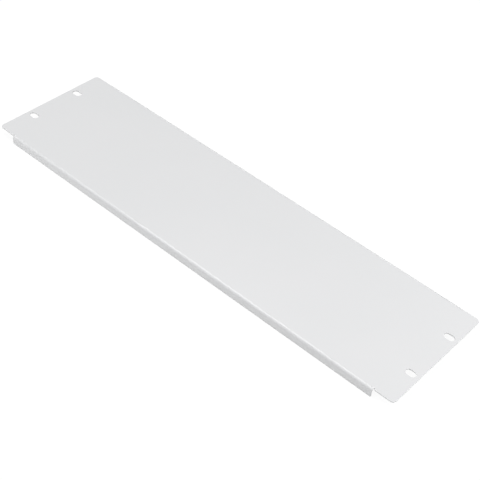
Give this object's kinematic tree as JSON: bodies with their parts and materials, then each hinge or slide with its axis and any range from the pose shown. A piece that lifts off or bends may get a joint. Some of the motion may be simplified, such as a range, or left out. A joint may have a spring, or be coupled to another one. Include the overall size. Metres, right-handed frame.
{
  "type": "rack blanking panel",
  "caption": "Folded sheet-steel front panel that closes unused space in an equipment rack, with shallow lips along its long edges and slotted ears at its ends.",
  "frame": {"origin": "under the middle of the panel, level with the lip edges that it lies on", "axes": "+X along the panel, +Y across it (up when it is fitted in a rack), +Z out of the front face"},
  "size_m": [0.4826, 0.1324, 0.009],
  "materials": {
    "coated_steel": "light grey powder coat, fine-textured and half matt"
  },
  "bodies": {
    "root": {"panel": "coated_steel"}
  },
  "joints": []
}
